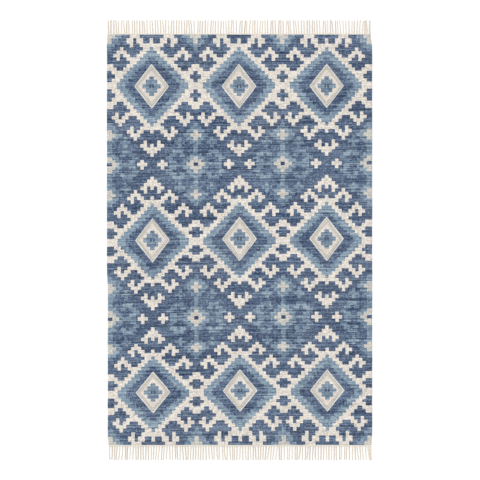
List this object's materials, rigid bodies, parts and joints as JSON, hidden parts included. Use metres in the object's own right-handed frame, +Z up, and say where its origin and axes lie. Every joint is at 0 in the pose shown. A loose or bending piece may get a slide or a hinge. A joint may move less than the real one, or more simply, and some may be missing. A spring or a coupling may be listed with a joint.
{
  "type": "kilim rug",
  "caption": "Flat-woven kilim rug in blue and cream with a stepped lozenge pattern and a warp fringe at each end, lying flat.",
  "frame": {"origin": "on the floor under the middle of the rug, fringe included", "axes": "+X across the rug to the right of the picture, +Y along it towards the end that is up in the picture, +Z up"},
  "size_m": [1.5266, 2.535, 0.004],
  "materials": {
    "dyed_wool": "matte weft-faced flatweave in blues and cream",
    "undyed_warp": "matte twisted cotton"
  },
  "bodies": {
    "root": {"woven_field": "dyed_wool", "fringe_far": "undyed_warp", "fringe_near": "undyed_warp"}
  },
  "joints": []
}
